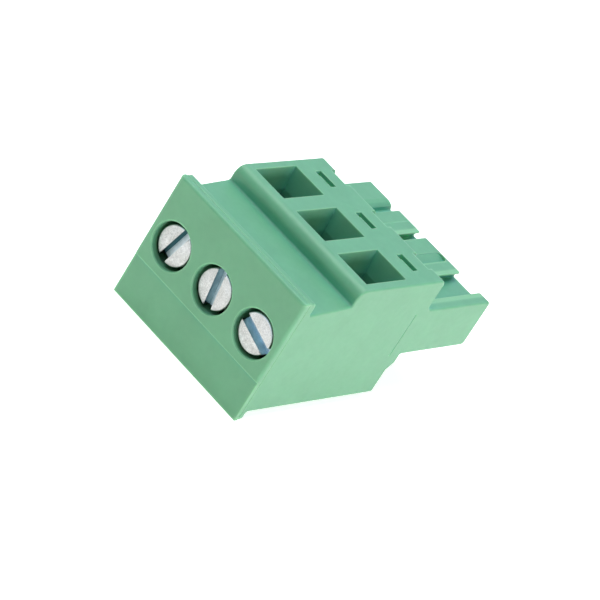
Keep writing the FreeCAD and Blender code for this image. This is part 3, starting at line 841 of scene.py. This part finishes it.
class TERMINAL_OT_screws(bpy.types.Operator):
    """Finish the slotted clamping screws"""

    bl_idname = "terminal.screws"
    bl_label = "Screws"

    def execute(self, context):
        settings = context.scene.terminal_screws
        zinc = zinc_plating(settings)
        floor = slot_metal("slot_floor", tuple(settings.floor_colour), roughness=0.5)
        for pole, turn, shade in zip(POLES, settings.slot_turns, settings.painted_wall_shades):
            node = f"screw_{pole}"
            low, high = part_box(node)
            head = slotted_head(settings)
            shank_start = settings.head_length - settings.head_edge
            shank = threaded_shank(settings, shank_start, high.y - low.y)
            middle = Vector(((low.x + high.x) / 2, low.y, (low.z + high.z) / 2))
            place = Matrix.Translation(middle) @ Matrix.Rotation(turn, 4, "Y")
            screw = make_piece(f"screw_{pole}_turned", [head, shank], place)
            # Each slot's walls are a lighter or darker copy of one metal: painted reflection.
            wall_colour = scaled(settings.wall_colour, shade)
            wall = slot_metal(f"slot_{pole}_wall", wall_colour, roughness=0.18)
            dress(screw, zinc, wall, floor)
            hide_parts(node)
            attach(screw, node)
        return {"FINISHED"}


class TERMINAL_OT_metal(bpy.types.Operator):
    """Finish the clamp sleeves and the contacts"""

    bl_idname = "terminal.metal"
    bl_label = "Sleeves and Contacts"

    def execute(self, context):
        settings = context.scene.terminal_metal
        steel = plated_metal("sleeve_plating", tuple(settings.sleeve_colour), roughness=0.35)
        tin = plated_metal("contact_tin", tuple(settings.contact_colour), roughness=0.3)
        for pole in POLES:
            repaint(f"sleeve_{pole}", steel)
            repaint(f"contact_{pole}", tin)
        return {"FINISHED"}


def photo_camera(settings):
    """The camera at its measured place, leaning over by its roll."""
    azimuth, elevation, roll = settings.azimuth, settings.elevation, settings.roll
    away = Vector((
        math.sin(azimuth) * math.cos(elevation),
        -math.cos(azimuth) * math.cos(elevation),
        math.sin(elevation),
    ))
    level = Vector((math.cos(azimuth), math.sin(azimuth), 0.0))
    turn = Matrix((level, away.cross(level), away)).transposed().to_4x4()
    lens = bpy.data.cameras.new("photo_camera")
    lens.lens = settings.focal_length
    lens.sensor_width = 36.0
    lens.clip_start = 0.01
    lens.clip_end = 20.0
    camera = bpy.data.objects.new("photo_camera", lens)
    place = Vector(settings.aim) + away * settings.distance
    camera.matrix_world = Matrix.Translation(place) @ turn @ Matrix.Rotation(roll, 4, "Z")
    bpy.context.scene.collection.objects.link(camera)
    bpy.context.scene.camera = camera


def softbox(name, place, size, power, colour):
    """A square lamp that faces the middle of the object."""
    lamp = bpy.data.lights.new(name, "AREA")
    lamp.size = size
    lamp.energy = power
    lamp.color = colour
    holder = bpy.data.objects.new(name, lamp)
    holder.location = place
    towards = Vector((0.0, 0.0, CAD_HIGH.z / 2)) - Vector(place)
    holder.rotation_euler = towards.to_track_quat("-Z", "Y").to_euler()
    bpy.context.scene.collection.objects.link(holder)


def studio_world(settings):
    """A bright horizon under a dim sky. The camera sees white, and gloss sees a bluish sky."""
    world = bpy.data.worlds.new("studio")
    bpy.context.scene.world = world
    paint = Paint(world, "ShaderNodeOutputWorld")
    split = paint.add("ShaderNodeSeparateXYZ")
    paint.join(paint.add("ShaderNodeTexCoord").outputs["Generated"], split, "Vector")
    height = split.outputs["Z"]
    dim = settings.sky_level / settings.horizon_level
    matt = paint.add("ShaderNodeBackground")
    sky = paint.ramp(height, low=0.12, high=0.4, dark=WHITE, light=(dim, dim, dim))
    paint.join(sky, matt, "Color")
    matt.inputs["Strength"].default_value = settings.horizon_level
    gloss = paint.add("ShaderNodeBackground")
    mirrored = paint.ramp(
        height,
        low=0.05,
        high=0.45,
        dark=(0.7, 0.72, 0.75),
        light=(0.43, 0.69, 1.0),
    )
    paint.join(mirrored, gloss, "Color")
    gloss.inputs["Strength"].default_value = settings.gloss_level
    white = paint.add("ShaderNodeBackground")
    white.inputs["Color"].default_value = (*WHITE, 1.0)
    rays = paint.add("ShaderNodeLightPath")
    shiny = paint.either(rays.outputs["Is Glossy Ray"], rays.outputs["Is Transmission Ray"])
    unseen = paint.choose(shiny, matt.outputs["Background"], gloss.outputs["Background"])
    seen = paint.choose(rays.outputs["Is Camera Ray"], unseen, white.outputs["Background"])
    paint.join(seen, paint.output, "Surface")


def pale_floor(settings):
    """A pale floor that looks white but keeps the object's shadow."""
    mesh = bpy.data.meshes.new("floor")
    shape = bmesh.new()
    bmesh.ops.create_grid(shape, x_segments=1, y_segments=1, size=settings.floor_size / 2)
    bmesh.ops.translate(shape, verts=shape.verts, vec=(0.0, 0.0, CAD_LOW.z))
    shape.to_mesh(mesh)
    shape.free()
    floor = bpy.data.objects.new("floor", mesh)
    bpy.context.scene.collection.objects.link(floor)
    paint = Paint(bpy.data.materials.new("pale_floor"))
    matt = paint.add("ShaderNodeBsdfDiffuse")
    matt.inputs["Color"].default_value = (0.82, 0.82, 0.82, 1.0)
    glow = paint.add("ShaderNodeEmission")
    glow.inputs["Strength"].default_value = settings.floor_glow
    both = paint.add("ShaderNodeAddShader")
    paint.join(matt.outputs["BSDF"], both, 0)
    paint.join(glow.outputs["Emission"], both, 1)
    paint.join(both.outputs["Shader"], paint.output, "Surface")
    dress(floor, paint.owner)


class TERMINAL_OT_stage(bpy.types.Operator):
    """Set up the floor, the lamps and the camera"""

    bl_idname = "terminal.stage"
    bl_label = "Stage"

    def execute(self, context):
        settings = context.scene.terminal_studio
        pale_floor(settings)
        studio_world(settings)
        softbox(
            "key_lamp",
            place=(-0.1, 0.04, 0.56),
            size=0.45,
            power=settings.key_power,
            colour=(0.93, 0.98, 1.0),
        )
        softbox(
            "front_lamp",
            place=(-0.1, -0.6, 0.1),
            size=0.4,
            power=settings.front_power,
            colour=WHITE,
        )
        softbox(
            "end_lamp",
            place=(0.6, 0.0, 0.07),
            size=0.22,
            power=settings.end_power,
            colour=(1.0, 0.81, 0.96),
        )
        photo_camera(settings)
        context.scene.view_settings.view_transform = "Standard"
        return {"FINISHED"}


class TERMINAL_PT_sidebar(bpy.types.Panel):
    """Lists the pieces and their settings in the sidebar"""

    bl_idname = "TERMINAL_PT_sidebar"
    bl_label = "Terminal Block"
    bl_space_type = "VIEW_3D"
    bl_region_type = "UI"
    bl_category = "Terminal Block"

    def draw(self, context):
        for operator, group in STEPS:
            box = self.layout.box()
            box.operator(operator.bl_idname)
            settings = getattr(context.scene, group)
            for name in settings.__annotations__:
                box.prop(settings, name)


STEPS = (
    (TERMINAL_OT_housing, "terminal_plastic"),
    (TERMINAL_OT_cover, "terminal_plastic"),
    (TERMINAL_OT_screws, "terminal_screws"),
    (TERMINAL_OT_metal, "terminal_metal"),
    (TERMINAL_OT_stage, "terminal_studio"),
)

GROUPS = {
    "terminal_plastic": PlasticSettings,
    "terminal_screws": ScrewSettings,
    "terminal_metal": MetalSettings,
    "terminal_studio": StudioSettings,
}


def register():
    """Registers the settings, the operators and the panel."""
    for name, group in GROUPS.items():
        bpy.utils.register_class(group)
        setattr(bpy.types.Scene, name, PointerProperty(type=group))
    for operator, _group in STEPS:
        bpy.utils.register_class(operator)
    bpy.utils.register_class(TERMINAL_PT_sidebar)


def unregister():
    """Takes the panel, the operators and the settings out again."""
    bpy.utils.unregister_class(TERMINAL_PT_sidebar)
    for operator, _group in reversed(STEPS):
        bpy.utils.unregister_class(operator)
    for name, group in reversed(GROUPS.items()):
        delattr(bpy.types.Scene, name)
        bpy.utils.unregister_class(group)


def main():
    """Makes every piece and the stage."""
    register()
    bpy.ops.terminal.housing()
    bpy.ops.terminal.cover()
    bpy.ops.terminal.screws()
    bpy.ops.terminal.metal()
    bpy.ops.terminal.stage()


if __name__ == "__main__":
    main()
